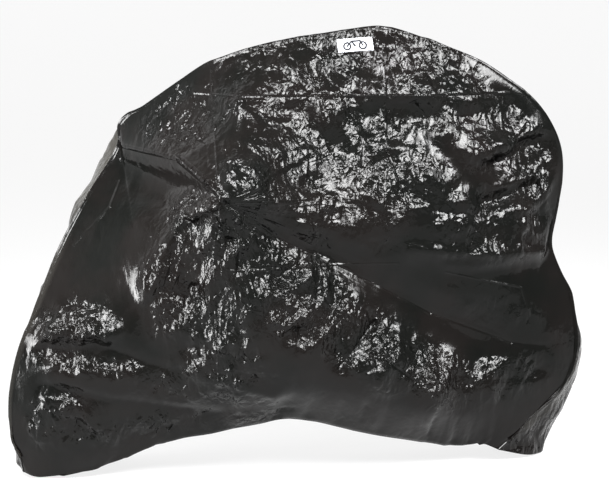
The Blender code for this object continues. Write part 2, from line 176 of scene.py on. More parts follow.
# Main folds of the near film: name, from x z, to x z, height towards -Y, width above, width below
FOLDS = (
    ("bar_ridge_near", -0.262, 0.815, -0.290, 0.850, 0.020, 0.026, 0.026),
    ("bar_ridge_mid", -0.290, 0.850, -0.354, 0.898, 0.024, 0.026, 0.026),
    ("bar_ridge_far", -0.354, 0.898, -0.485, 0.906, 0.022, 0.030, 0.030),
    ("bar_trough", -0.325, 0.806, -0.450, 0.835, -0.022, 0.028, 0.060),
    ("bar_trough_far", -0.450, 0.835, -0.530, 0.850, -0.016, 0.026, 0.050),
    ("valley_1", -0.235, 0.785, -0.117, 0.701, -0.018, 0.038, 0.038),
    ("valley_2", -0.117, 0.701, 0.030, 0.640, -0.024, 0.048, 0.048),
    ("valley_3", 0.030, 0.640, 0.175, 0.553, -0.018, 0.052, 0.052),
    ("valley_4", 0.175, 0.553, 0.350, 0.455, -0.012, 0.052, 0.070),
    ("valley_5", 0.350, 0.455, 0.530, 0.394, -0.008, 0.052, 0.070),
    ("valley_6", 0.530, 0.394, 0.702, 0.338, -0.005, 0.044, 0.044),
    ("pleat_1", -0.270, 0.790, -0.372, 0.740, 0.028, 0.028, 0.018),
    ("pleat_2", -0.372, 0.740, -0.438, 0.560, 0.022, 0.030, 0.024),
    ("pleat_3", -0.268, 0.780, -0.300, 0.520, 0.016, 0.026, 0.026),
    ("pleat_4", -0.330, 0.620, -0.345, 0.320, -0.014, 0.030, 0.030),
    ("ray_high", -0.245, 0.825, -0.170, 1.040, 0.014, 0.032, 0.032),
    ("ray_level", -0.235, 0.810, 0.060, 0.790, 0.012, 0.030, 0.030),
    ("pinch_ridge", 0.280, 0.640, 0.702, 0.610, 0.014, 0.030, 0.030),
    ("pinch_trough", 0.400, 0.560, 0.715, 0.570, -0.006, 0.032, 0.032),
    ("tail_crest", 0.530, 0.908, 0.725, 0.975, 0.022, 0.042, 0.022),
    ("tail_trough", 0.540, 0.872, 0.744, 0.938, -0.026, 0.020, 0.045),
    ("tail_trough_low", 0.505, 0.758, 0.672, 0.800, -0.020, 0.018, 0.040),
    ("wheel_shelf", -0.740, 0.420, -0.600, 0.425, 0.034, 0.060, 0.028),
    ("wheel_dip", -0.720, 0.375, -0.560, 0.375, -0.006, 0.032, 0.032),
    ("wheel_brow", -0.700, 0.325, -0.500, 0.290, 0.008, 0.036, 0.036),
    ("wheel_fold_1", -0.738, 0.275, -0.560, 0.238, -0.011, 0.018, 0.055),
    ("wheel_fold_2", -0.560, 0.238, -0.255, 0.192, -0.010, 0.018, 0.055),
    ("wheel_fold_3", -0.742, 0.222, -0.590, 0.135, -0.010, 0.016, 0.045),
    ("skirt_ridge", -0.325, 0.322, -0.107, 0.250, 0.014, 0.032, 0.032),
    ("pack_fold", -0.200, 1.062, 0.480, 1.062, 0.010, 0.036, 0.036),
    ("hem_tuck", -0.075, 0.230, -0.062, 0.160, -0.018, 0.026, 0.026),
)

# Sharp creases of the near film: name, from x z, to x z, height towards -Y, width
CREASES = (
    ("bar_edge_1", -0.255, 0.806, -0.290, 0.850, 0.014, 0.012),
    ("bar_edge_2", -0.290, 0.850, -0.318, 0.874, 0.014, 0.012),
    ("bar_edge_3", -0.318, 0.874, -0.356, 0.900, 0.014, 0.012),
    ("bar_edge_4", -0.356, 0.900, -0.435, 0.908, 0.007, 0.011),
    ("bar_edge_5", -0.435, 0.908, -0.500, 0.906, 0.007, 0.011),
    ("bar_dark_1", -0.500, 0.890, -0.435, 0.888, -0.006, 0.010),
    ("bar_dark_2", -0.435, 0.888, -0.372, 0.878, -0.006, 0.010),
    ("gather_1", -0.505, 0.880, -0.420, 0.858, 0.006, 0.008),
    ("gather_2", -0.505, 0.870, -0.440, 0.842, -0.007, 0.009),
    ("under_grip_1", -0.262, 0.800, -0.315, 0.780, 0.014, 0.014),
    ("under_grip_2", -0.315, 0.780, -0.365, 0.735, 0.014, 0.014),
    ("pleat_edge_1", -0.365, 0.735, -0.382, 0.693, 0.016, 0.012),
    ("pleat_edge_2", -0.382, 0.693, -0.420, 0.668, 0.016, 0.012),
    ("pleat_edge_3", -0.420, 0.668, -0.450, 0.617, 0.016, 0.012),
    ("pleat_edge_4", -0.450, 0.617, -0.458, 0.518, 0.016, 0.012),
    ("ray_1", -0.252, 0.792, -0.206, 0.750, 0.007, 0.009),
    ("ray_2", -0.206, 0.750, -0.150, 0.700, 0.006, 0.009),
    ("ray_3", -0.250, 0.800, -0.175, 0.770, -0.006, 0.009),
    ("ray_4", -0.245, 0.822, -0.150, 0.850, 0.005, 0.008),
    ("ray_5", -0.258, 0.780, -0.240, 0.640, 0.006, 0.008),
    ("ray_6", -0.262, 0.782, -0.290, 0.640, -0.006, 0.008),
    ("ray_7", -0.268, 0.785, -0.320, 0.650, 0.006, 0.008),
    ("shelf_edge", -0.727, 0.412, -0.640, 0.420, 0.007, 0.010),
    ("shelf_edge_2", -0.755, 0.385, -0.727, 0.412, 0.006, 0.010),
    ("shelf_end_1", -0.604, 0.399, -0.553, 0.383, -0.006, 0.009),
    ("shelf_end_2", -0.553, 0.383, -0.449, 0.344, -0.007, 0.009),
    ("shelf_end_3", -0.449, 0.344, -0.370, 0.323, -0.007, 0.009),
    ("shelf_end_4", -0.370, 0.323, -0.335, 0.328, -0.007, 0.009),
    ("deep_1", -0.738, 0.280, -0.651, 0.266, -0.003, 0.011),
    ("deep_2", -0.651, 0.266, -0.594, 0.241, -0.003, 0.012),
    ("deep_3", -0.594, 0.241, -0.506, 0.226, -0.003, 0.012),
    ("deep_4", -0.506, 0.226, -0.380, 0.212, -0.003, 0.011),
    ("deep_5", -0.380, 0.212, -0.255, 0.189, -0.003, 0.010),
    ("deep_low_1", -0.745, 0.224, -0.682, 0.190, -0.003, 0.011),
    ("deep_low_2", -0.682, 0.190, -0.608, 0.147, -0.003, 0.012),
    ("deep_low_3", -0.608, 0.147, -0.583, 0.132, -0.003, 0.011),
    ("skirt_line", -0.327, 0.323, -0.198, 0.285, 0.006, 0.010),
    ("skirt_line_2", -0.198, 0.285, -0.107, 0.248, 0.005, 0.010),
    ("valley_a", -0.253, 0.800, -0.180, 0.742, -0.003, 0.008),
    ("valley_b", -0.180, 0.742, -0.117, 0.701, -0.003, 0.008),
    ("valley_c", -0.117, 0.701, -0.035, 0.658, -0.003, 0.008),
    ("valley_d", -0.035, 0.658, 0.029, 0.641, -0.003, 0.008),
    ("valley_e", 0.029, 0.641, 0.091, 0.605, -0.003, 0.008),
    ("valley_f", 0.091, 0.605, 0.175, 0.553, -0.003, 0.008),
    ("valley_g", 0.175, 0.553, 0.266, 0.511, -0.003, 0.008),
    ("valley_h", 0.266, 0.511, 0.350, 0.455, -0.003, 0.008),
    ("valley_i", 0.350, 0.455, 0.443, 0.433, -0.003, 0.008),
    ("valley_j", 0.443, 0.433, 0.529, 0.394, -0.003, 0.008),
    ("valley_k", 0.529, 0.394, 0.590, 0.358, -0.003, 0.008),
    ("valley_l", 0.590, 0.358, 0.702, 0.338, -0.003, 0.008),
    ("band_fold_1", 0.177, 0.445, 0.122, 0.383, -0.009, 0.009),
    ("band_fold_2", 0.122, 0.383, 0.066, 0.332, -0.008, 0.009),
    ("band_curve_1", 0.198, 0.352, 0.251, 0.317, -0.008, 0.009),
    ("band_curve_2", 0.251, 0.317, 0.295, 0.275, -0.008, 0.009),
    ("pinch_line_1", 0.280, 0.647, 0.452, 0.622, 0.008, 0.010),
    ("pinch_line_2", 0.452, 0.622, 0.702, 0.608, 0.008, 0.010),
    ("pinch_line_3", 0.388, 0.593, 0.474, 0.586, 0.006, 0.009),
    ("pinch_line_4", 0.474, 0.586, 0.589, 0.598, 0.006, 0.009),
    ("crown_slant", 0.132, 1.070, 0.197, 0.986, -0.008, 0.010),
    ("crown_slant_2", -0.009, 1.135, 0.067, 0.972, 0.007, 0.010),
    ("crown_slant_3", 0.077, 1.161, 0.133, 1.071, 0.007, 0.010),
    ("crown_slant_4", 0.349, 1.145, 0.313, 1.064, 0.007, 0.010),
    ("crown_slant_5", 0.070, 1.053, 0.095, 0.971, 0.008, 0.010),
    ("back_slant", 0.410, 0.980, 0.556, 0.864, 0.008, 0.010),
    ("tail_dark_1", 0.544, 0.873, 0.642, 0.913, -0.016, 0.012),
    ("tail_dark_2", 0.642, 0.913, 0.744, 0.938, -0.016, 0.012),
    ("tail_dark_3", 0.509, 0.759, 0.607, 0.779, -0.013, 0.011),
    ("tail_dark_4", 0.607, 0.779, 0.670, 0.799, -0.013, 0.011),
    ("tail_pleat_1", 0.547, 0.740, 0.575, 0.652, 0.009, 0.011),
    ("tail_pleat_2", 0.636, 0.733, 0.616, 0.630, 0.008, 0.011),
    ("apron_ridge_1", 0.168, 0.807, 0.215, 0.757, 0.009, 0.011),
    ("apron_ridge_2", 0.215, 0.757, 0.323, 0.761, 0.009, 0.011),
    ("grip_level", -0.234, 0.829, -0.026, 0.800, -0.007, 0.010),
    ("tuck_top", -0.088, 0.200, -0.050, 0.200, -0.012, 0.008),
    ("tuck_left", -0.084, 0.202, -0.080, 0.172, -0.010, 0.007),
    ("tuck_right", -0.056, 0.202, -0.052, 0.172, 0.010, 0.007),
    ("pucker_1", 0.152, 0.215, 0.146, 0.170, -0.008, 0.008),
    ("pucker_2", 0.352, 0.160, 0.350, 0.105, -0.009, 0.008),
    ("pucker_3", -0.005, 0.210, -0.008, 0.172, -0.006, 0.008),
)

# How strongly the near film is crinkled, patch by patch:
# name, x, z, half width, half height, turn in degrees, big facets, small facets, fine
CRINKLED = (
    ("crown_front", -0.060, 1.080, 0.230, 0.100, 12, 0.80, 0.70, 0.75),
    ("crest", 0.200, 1.190, 0.420, 0.060, 0, 0.60, 0.70, 0.90),
    ("crown", 0.120, 1.020, 0.200, 0.150, 0, 0.80, 0.70, 0.75),
    ("crown_rear", 0.400, 1.060, 0.180, 0.100, -18, 1.10, 0.90, 0.85),
    ("back", 0.520, 0.960, 0.190, 0.110, -25, 1.20, 1.00, 0.90),
    ("tail", 0.640, 0.850, 0.080, 0.110, 0, 0.80, 1.10, 1.10),
    ("apron_front", -0.080, 0.880, 0.190, 0.120, 0, 0.80, 0.70, 0.75),
    ("apron", 0.200, 0.840, 0.200, 0.110, 0, 0.90, 0.80, 0.80),
    ("apron_rear", 0.520, 0.700, 0.190, 0.100, 0, 0.95, 0.85, 0.85),
    ("apron_low", 0.080, 0.720, 0.190, 0.075, -12, 0.80, 0.85, 0.80),
    ("cowl", -0.330, 1.000, 0.110, 0.070, 30, 0.70, 1.10, 1.20),
    ("under_grip", -0.315, 0.768, 0.085, 0.045, 30, 1.30, 1.80, 1.90),
    ("curtain", -0.340, 0.560, 0.110, 0.180, 0, 0.90, 1.10, 1.10),
    ("curtain_rear", -0.230, 0.480, 0.080, 0.230, 0, 0.70, 0.90, 1.00),
    ("curtain_low", -0.250, 0.350, 0.130, 0.060, -8, 0.70, 1.20, 1.30),
    ("grip_fan", -0.225, 0.720, 0.075, 0.060, -40, 0.90, 1.60, 1.70),
    ("valley_rear", 0.540, 0.450, 0.130, 0.040, -8, 0.20, 0.50, 0.60),
    ("ray_band", -0.160, 0.650, 0.110, 0.070, -38, 0.70, 1.30, 1.40),
    ("band_front", -0.040, 0.520, 0.150, 0.105, -35, 0.90, 1.60, 1.60),
    ("band", 0.130, 0.400, 0.190, 0.090, -35, 0.85, 1.40, 1.50),
    ("band_rear", 0.350, 0.290, 0.150, 0.075, -30, 0.85, 1.40, 1.50),
    ("band_end", 0.560, 0.260, 0.140, 0.060, 5, 0.45, 0.80, 0.90),
    ("shelf", -0.650, 0.440, 0.110, 0.052, 5, 1.20, 1.60, 1.70),
    ("brow", -0.560, 0.325, 0.190, 0.030, -8, 0.15, 1.10, 1.40),
    ("brow_rear", -0.330, 0.262, 0.190, 0.030, -8, 0.10, 0.80, 1.10),
    ("facet_edge", -0.590, 0.640, 0.100, 0.080, 45, 0.10, 0.06, 0.10),
    ("hem_front", -0.480, 0.150, 0.200, 0.035, 8, 0.40, 1.20, 1.40),
    ("hem_mid", -0.240, 0.165, 0.160, 0.024, 8, 0.20, 0.80, 1.00),
    ("toe", -0.700, 0.180, 0.075, 0.090, -30, 0.60, 0.80, 0.90),
)

# Facet layers: name, cell size, height, turn in degrees, stretch, seed, column of CRINKLED
FACETS = (
    ("plates", 0.085, 0.0220, 72, 1.7, 11, 0),
    ("plates_cross", 0.060, 0.0130, -28, 1.5, 12, 0),
    ("chips", 0.036, 0.0065, 58, 1.5, 13, 1),
)
SMOOTH_SHARE = (0.10, 0.08, 0.10)  # what the smooth parts keep of each column
CRINKLE_FADE = 1.5

# Crinkles too fine for the mesh: name, cell size, slope of the facets, stretch x y z
WRINKLES = (
    ("creases", 0.046, 0.40, 0.7, 1.0, 1.7),
    ("facets", 0.026, 0.42, 0.8, 1.0, 1.5),
    ("chips", 0.0125, 0.38, 0.9, 1.0, 1.3),
    ("grit", 0.0065, 0.18, 1.0, 1.0, 1.0),
)

# Long thin creases from the cover's time in its pack and at the grip: name, from x z, to x z, height, half width
PACKED = (
    ("down_high", -0.258, 0.790, -0.274, 0.655, 0.0020, 0.0040),
    ("down", -0.274, 0.655, -0.263, 0.290, 0.0016, 0.0040),
    ("up", -0.249, 1.130, -0.262, 0.850, 0.0014, 0.0040),
    ("level", -0.300, 1.068, 0.600, 1.063, 0.0018, 0.0040),
    ("level_low", -0.230, 0.612, 0.250, 0.605, 0.0012, 0.0040),
    ("crown_high", 0.229, 1.180, 0.224, 0.910, 0.0022, 0.0045),
    ("crown_low", 0.224, 0.910, 0.273, 0.760, 0.0022, 0.0045),
    ("bar_near", -0.240, 0.803, -0.290, 0.850, 0.0052, 0.0120),
    ("bar_mid", -0.290, 0.850, -0.354, 0.899, 0.0050, 0.0120),
    ("bar_far", -0.354, 0.899, -0.500, 0.908, 0.0030, 0.0080),
    ("valley_high", -0.035, 0.658, 0.175, 0.553, -0.0014, 0.0060),
    ("valley_mid", 0.175, 0.553, 0.350, 0.455, -0.0012, 0.0060),
    ("valley_low", 0.350, 0.455, 0.590, 0.358, -0.0012, 0.0060),
    ("band_fold", 0.180, 0.450, 0.066, 0.332, -0.0035, 0.0055),
    ("band_curve", 0.198, 0.352, 0.295, 0.275, -0.0032, 0.0055),
    ("facet_high", -0.508, 0.812, -0.540, 0.748, 0.0016, 0.0045),
    ("facet_low", -0.540, 0.748, -0.645, 0.645, 0.0012, 0.0045),
    ("rear_high", 0.388, 0.572, 0.619, 0.515, 0.0014, 0.0040),
    ("rear_low", 0.619, 0.515, 0.646, 0.430, 0.0014, 0.0040),
)

# Gathers that run out from the grip: x, z of the grip, turns per radian, cells per metre, slope
GRIP = (-0.255, 0.800)
DRIFT_SHIFT = 0.014  # the drift moves every place by about this much, so the grip as well
GATHERS = (
    ("broad", 7.0, 3.5, 0.80),
    ("narrow", 17.0, 9.0, 0.75),
)

# Unevenness along the edges: name, column of the section, height, run, cell size, seed
UNEVEN = (
    ("seam", 2, 0.0032, 3.4, 0.060, 41),
    ("hem", 5, 0.0028, 1.5, 0.045, 42),
)

# Small gathers just above the near hem: name, cell size, share of the height, depth, seed
HEM_GATHERS = (
    ("wide", 0.030, 0.15, 0.0060, 43),
    ("narrow", 0.013, 0.10, 0.0025, 44),
)
FAR_CRINKLE = (0.65, 0.7, 0.75)  # the far film's big facets, small facets and fine crinkle
CURL_TURN = math.radians(150)  # how far the drawn-in hem rolls round
FLANGE_CELL, FLANGE_RUN, FLANGE_SEED = 0.05, 3.4, 31

# Lamps: name, size, power, place, aim
LAMPS = (
    ("key", (4.3, 1.15), 112, (1.56, -2.18, 2.93), (0.2, 0, 0.7)),
    ("front_left", (1.6, 1.0), 38, (-1.45, -1.35, 3.2), (-0.3, 0, 0.6)),
    ("left", (1.2, 1.3), 27, (-3.0, -0.35, 0.70), (-0.3, -0.15, 0.70)),
)
LAMP_SPREAD = math.radians(65)
FLOOR_DROP = 0.002  # the floor lies this far under the hem, so that the two never touch

# Surroundings get lighter in these directions: axis, from, to, lowest, highest strength
SURROUNDINGS = (
    ("Y", 0.30, 0.70, 0.20, 1.05),
    ("X", -0.50, -0.85, 0.20, 0.80),
)


# ---------------------------------------------------------------- settings


def length(name, description, default, **more):
    return FloatProperty(name=name, description=description, default=default, unit="LENGTH", **more)


def angle(name, description, degrees):
    return FloatProperty(name=name, description=description, default=math.radians(degrees), subtype="ANGLE")


def colour(name, description, default):
    return FloatVectorProperty(
        name=name, description=description, size=4, min=0, max=1, default=(*default, 1), subtype="COLOR"
    )


class CoverFilm(bpy.types.PropertyGroup):
    thickness: length("Thickness", "Film thickness", 0.0012)
    flange: length("Flange", "Width of the seam flange", 0.009)
    curl: length("Curl", "How far the hem is drawn in under", 0.058)
    columns: IntProperty(name="Columns", description="Steps along the seam", default=372)
    rows: IntProperty(name="Rows", description="Steps from hem to seam", default=118)
    curl_rows: IntProperty(name="Curl rows", description="Steps round the drawn-in hem", default=8)
    crinkle: FloatProperty(name="Crinkle", description="Scale of all crinkle heights", default=1.0)
    flat: FloatVectorProperty(
        name="Flat size", description="Panel laid flat", size=2, default=(2.0, 1.1), unit="LENGTH"
    )
    flat_area: FloatProperty(
        name="Flat area", description="Panel area with its rounded top corners", default=1.95, unit="AREA"
    )
    black: colour("Black", "Film where it is darkest", (0.0026, 0.0028, 0.0025))
    brown: colour("Brown", "Film where it drifts to brown-grey", (0.0043, 0.0037, 0.0034))
    # Painted backlight: this lighter base colour is mixed in where one layer of film stands against the light, in
    # place of light shining through it
    single: colour("Single layer", "Film that stands alone against the light", (0.036, 0.034, 0.030))
    roughness: FloatProperty(name="Roughness", description="Roughness where the film is glossiest", default=0.12)


class CoverLabel(bpy.types.PropertyGroup):
    x: length("Along", "Place of the label along the cover", 0.151)
    z: length("Height", "Place of the label above the floor", 1.202)
    wide: length("Width", "Width of the label", 0.099)
    high: length("Tall", "Height of the label", 0.037)
    thick: length("Thickness", "Thickness of the label", 0.0008)
    gap: length("Gap", "Air between film and label", 0.0009)
    turn: angle("Turn", "How far the label is turned", 4)
    across: IntProperty(name="Across", description="Steps across the label", default=60)
    down: IntProperty(name="Down", description="Steps down the label", default=24)
    paper: colour("Paper", "Ground of the label", (0.42, 0.43, 0.45))
    ink: colour("Ink", "Drawing on the label", (0.006, 0.007, 0.010))


class CoverStage(bpy.types.PropertyGroup):
    azimuth: angle("Azimuth", "Camera's direction round the cover", -8)
    elevation: angle("Elevation", "Camera's direction above level", 9)
    distance: length("Distance", "Camera distance", 5.2)
    lens: FloatProperty(name="Lens", description="Focal length in mm", default=107.6, unit="CAMERA")
    target: FloatVectorProperty(
        name="Target", description="Point the camera looks at", size=3, default=(0.01, 0.0, 0.65), unit="LENGTH"
    )
    floor: length("Floor", "Half width of the floor", 80.0)


# ---------------------------------------------------------------- shape maths


def spline(rows, u):
    """Smooth curve through the rows, u running 0 to 1 over them."""
    n = len(rows)
    place = np.clip(u, 0, 1) * (n - 1)
    i = np.minimum(place.astype(int), n - 2)
    f = (place - i)[:, None]
    pad = np.vstack([2 * rows[0] - rows[1], rows, 2 * rows[-1] - rows[-2]])
    a, b, c, d = pad[i], pad[i + 1], pad[i + 2], pad[i + 3]
    return b + f * ((c - a) + f * ((2 * a - 5 * b + 4 * c - d) + f * (3 * b - a - 3 * c + d))) / 2


def unit(v):
    return v / np.maximum(np.linalg.norm(v, axis=-1, keepdims=True), 1e-9)


def smooth(x, low, high):
    f = np.clip((x - low) / (high - low), 0, 1)
    return f * f * (3 - 2 * f)


def plate_kernel(r):
    return r * r * np.log(np.maximum(r, 1e-6))


def depth_solver(sections):
    """Thin plate through the depth table, the seam and the near hem."""
    known = [(x, z, d) for _, x, z, d in DEPTHS]
    known += [(r[0], r[2], -r[1]) for r in sections] + [(r[3], r[5], -r[4]) for r in sections[1:-1]]
    known = np.array(known)
    at, value = known[:, :2], known[:, 2]
    n = len(at)
    r = np.linalg.norm(at[:, None] - at[None], axis=2)
    full = np.zeros((n + 3, n + 3))
    full[:n, :n] = plate_kernel(r) + 2e-4 * np.eye(n)
    full[:n, n:] = np.c_[np.ones(n), at]
    full[n:, :n] = full[:n, n:].T
    weight = np.linalg.solve(full, np.r_[value, 0, 0, 0])

    def depth(x, z):
        p = np.stack([x.ravel(), z.ravel()], 1)
        total = np.c_[np.ones(len(p)), p] @ weight[n:]
        for k in range(n):
            total += plate_kernel(np.hypot(p[:, 0] - at[k, 0], p[:, 1] - at[k, 1])) * weight[k]
        return total.reshape(x.shape)

    return depth


def folds(table, x, z, sharp=False):
    """The highest crest and the deepest trough of the table at each x, z; they die out at both ends."""
    crest, trough = np.zeros_like(x), np.zeros_like(x)
    for _, x0, z0, x1, z1, height, width, *below in table:
        along = np.array([x1 - x0, z1 - z0])
        length = np.linalg.norm(along)
        along = along / length
        u = ((x - x0) * along[0] + (z - z0) * along[1]) / length
        v = (x - x0) * -along[1] + (z - z0) * along[0]
        upper = v * np.sign(x1 - x0) > 0
        v = v / np.where(upper, width, (below or [width])[0])
        over = np.maximum(np.abs(u - 0.5) - 0.5, 0) * length / width
        shape = height * (np.exp(-np.hypot(v, over) * 1.2) if sharp else np.exp(-(v**2) - over**2))
        crest, trough = np.maximum(crest, shape), np.minimum(trough, shape)
    return crest + trough


def far_profile(stations, v):
    """Smooth curve per column through seam, edge, belly and hem; v runs 0 to 1 from the seam."""
    step = np.linalg.norm(np.diff(stations, axis=0), axis=2)
    knots = np.vstack([np.zeros(step.shape[1]), np.cumsum(step, axis=0)])
    knots = knots / knots[-1]
    slope = np.diff(stations, axis=0) / np.diff(knots, axis=0)[..., None]
    w = np.diff(knots, axis=0)[..., None]
    inner = (slope[:-1] * w[1:] + slope[1:] * w[:-1]) / (w[1:] + w[:-1])
    tangent = np.concatenate([slope[:1], inner, slope[-1:]])
    out = np.zeros((len(v),) + stations.shape[1:])
    for i in range(3):
        k0, k1 = knots[i], knots[i + 1]
        f = (v[:, None] - k0) / (k1 - k0)
        here = ((f >= 0) if i == 0 else (f > 0)) & (f <= 1 + 1e-9)
        f = f[..., None]
        h = (k1 - k0)[:, None]
        curve = (
            (2 * f**3 - 3 * f**2 + 1) * stations[i]
            + (f**3 - 2 * f**2 + f) * h * tangent[i]
            + (3 * f**2 - 2 * f**3) * stations[i + 1]
            + (f**3 - f**2) * h * tangent[i + 1]
        )
        out = np.where(here[..., None], curve, out)
    return out


def facets(x, z, size, turn, stretch, seed, jitter=0.36):
    """Heights in -1..1 of random flat facets that meet in creases."""
    c, s = math.cos(math.radians(turn)), math.sin(math.radians(turn))
    u = ((x * c + z * s) / (size * stretch) + 60).ravel()
    v = ((-x * s + z * c) / size + 60).ravel()
    rng = np.random.default_rng(seed)
    n = 256
    offset = (rng.random((2, n, n)) - 0.5) * 2 * jitter
    height = rng.random((n, n)) * 2 - 1
    flip = rng.random((n, n)) < 0.5
    i0, j0 = np.floor(u).astype(int), np.floor(v).astype(int)
    out = np.zeros_like(u)
    done = np.zeros(u.shape, bool)
    for di in (0, -1, 1):
        for dj in (0, -1, 1):
            i, j = i0 + di, j0 + dj
            at = {}
            for a in (0, 1):
                for b in (0, 1):
                    p, q = (i + a) % n, (j + b) % n
                    at[a, b] = (i + a + offset[0, p, q], j + b + offset[1, p, q], height[p, q])
            turned = flip[i % n, j % n]
            for which, corners in (
                (False, ((0, 0), (1, 0), (1, 1))),
                (False, ((0, 0), (1, 1), (0, 1))),
                (True, ((0, 0), (1, 0), (0, 1))),
                (True, ((1, 0), (1, 1), (0, 1))),
            ):
                (ax, ay, ah), (bx, by, bh), (cx, cy, ch) = (at[k] for k in corners)
                area = (bx - ax) * (cy - ay) - (cx - ax) * (by - ay)
                area = np.where(np.abs(area) < 1e-6, 1e-6, area)
                w1 = ((u - ax) * (cy - ay) - (cx - ax) * (v - ay)) / area
                w2 = ((bx - ax) * (v - ay) - (u - ax) * (by - ay)) / area
                inside = (w1 >= -1e-6) & (w2 >= -1e-6) & (w1 + w2 <= 1 + 1e-6) & (turned == which) & ~done
                out[inside] = (ah + (bh - ah) * w1 + (ch - ah) * w2)[inside]
                done |= inside
    return out.reshape(x.shape)


def crinkle_strength(x, z):
    """The three columns of CRINKLED at each place, the strongest patch counting."""
    result = [np.full_like(x, share) for share in SMOOTH_SHARE]
    for _, cx, cz, rx, rz, turn, *strengths in CRINKLED:
        c, s = math.cos(math.radians(turn)), math.sin(math.radians(turn))
        away = np.hypot(((x - cx) * c + (z - cz) * s) / rx, ((z - cz) * c - (x - cx) * s) / rz)
        inside = 1 - smooth(away, 0.55, CRINKLE_FADE)
        for level, strength in zip(result, strengths):
            np.maximum(level, strength * inside, out=level)
    return result


def grip_strength(x, z):
    """How strongly the film is gathered towards the grip: most below it and towards the rear."""
    dx, dz = x - GRIP[0], z - GRIP[1]
    turn = np.degrees(np.arctan2(dz, dx))
    sector = smooth(turn, -135, -105) * (1 - smooth(turn, 5, 45))
    return np.exp(-np.hypot(dx, dz) / 0.28) * (0.15 + 0.85 * sector)


def grid_normals(grid):
    along = np.gradient(grid, axis=1)
    up = np.gradient(grid, axis=0)
    return unit(np.cross(along, up))


def near_body(table, seam, hem, u, t):
    """Near panel from hem to seam: depth, main folds, creases, and the gathers above its hem."""
    from_end = np.minimum(u, 1 - u)
    x = hem[:, 0] + (seam[:, 0] - hem[:, 0]) * t
    z = hem[:, 2] + (seam[:, 2] - hem[:, 2]) * t
    fold_share = np.clip(np.minimum(1 - t, t * 2) * 8, 0, 1)
    crease_share = np.clip(np.minimum(1 - t, 0.25 + t * 6) * 14, 0, 1)
    d = depth_solver(table)(x, z) + folds(FOLDS, x, z) * fold_share
    d += folds(CREASES, x, z, sharp=True) * crease_share
    gathers = 0.0
    for _, size, share, deep, seed in HEM_GATHERS:
        gathers = gathers + facets(x, z * share, size, 0, 1, seed) * deep
    d += gathers * smooth(t, 0.0, 0.03) * (1 - t) ** 9 * smooth(from_end, 0.02, 0.10)
    d += (-seam[:, 1] - d[-1]) * t**10 + (-hem[:, 1] - d[0]) * (1 - t) ** 8
    straight = seam[:, 1] * t + hem[:, 1] * (1 - t)
    blend = np.clip(from_end * 50, 0, 1)
    return np.stack([x, straight * (1 - blend) - d * blend, z], 2)


def flange_directions(seam, near, far):
    """Across the seam from near to far, and outward along its flange, at each column."""
    rows, columns = near.shape[:2]
    tangent = unit(np.gradient(seam, axis=0))
    below = max(3, round(rows * 0.16))

    def square(v):
        return unit(v - (v * tangent).sum(1)[:, None] * tangent)

    across = unit(square(far[-below] - seam) - square(near[-below] - seam))
    first, last = round(columns * 0.04), columns - 1 - round(columns * 0.06)
    across[:first], across[last + 1 :] = across[first], across[last]
    for _ in range(round(columns * 0.25)):
        across[1:-1] = unit(across[1:-1] + 0.5 * (across[:-2] + across[2:]))
    across = square(across)
    outward = np.cross(tangent, across)
    outward = outward * np.sign((outward * (seam - np.array(MIDDLE))).sum(1))[:, None]
    return across, outward


def crinkled(body, side, strength, u, t, scale):
    """The smooth film with its facets raised along its own normal, calm at seam, hem and ends."""
    normal = grid_normals(body)
    normal = normal * np.sign((normal[..., 1] * side).sum())
    px, pz = body[..., 0], body[..., 2]
    bump = np.zeros_like(px)
    for _, size, height, turn, stretch, seed, column in FACETS:
        wobble = facets(px, pz, size * 2.6, turn + 35, 1.0, seed + 50) * size * 0.25
        raised = facets(px + wobble, pz - wobble, size, turn, stretch, seed + (0 if side < 0 else 7))
        bump += raised * height * strength[column]
    calm = smooth(1 - t, 0.004, 0.05) * smooth(t, -0.05, 0.10) * smooth(np.minimum(u, 1 - u), 0.0, 0.03)
    return body + normal * (bump * scale * calm)[..., None]


def curled_hem(hem, inward, film, reach):
    """Rows of the drawn-in hem, from its inner rim out to the body's first row."""
    rows = []
    for k in range(film.curl_rows, 0, -1):
        share = k / film.curl_rows
        turned = CURL_TURN * share
        move = np.zeros_like(hem)
        move[:, :2] = inward * film.curl * (0.72 * math.sin(turned * 0.62) + 0.30 * share)
        move[:, 2] = film.curl * (0.42 * (1 - math.cos(turned)) - 0.10 * math.sin(turned))
        rows.append(hem + move * reach)
    return np.array(rows)


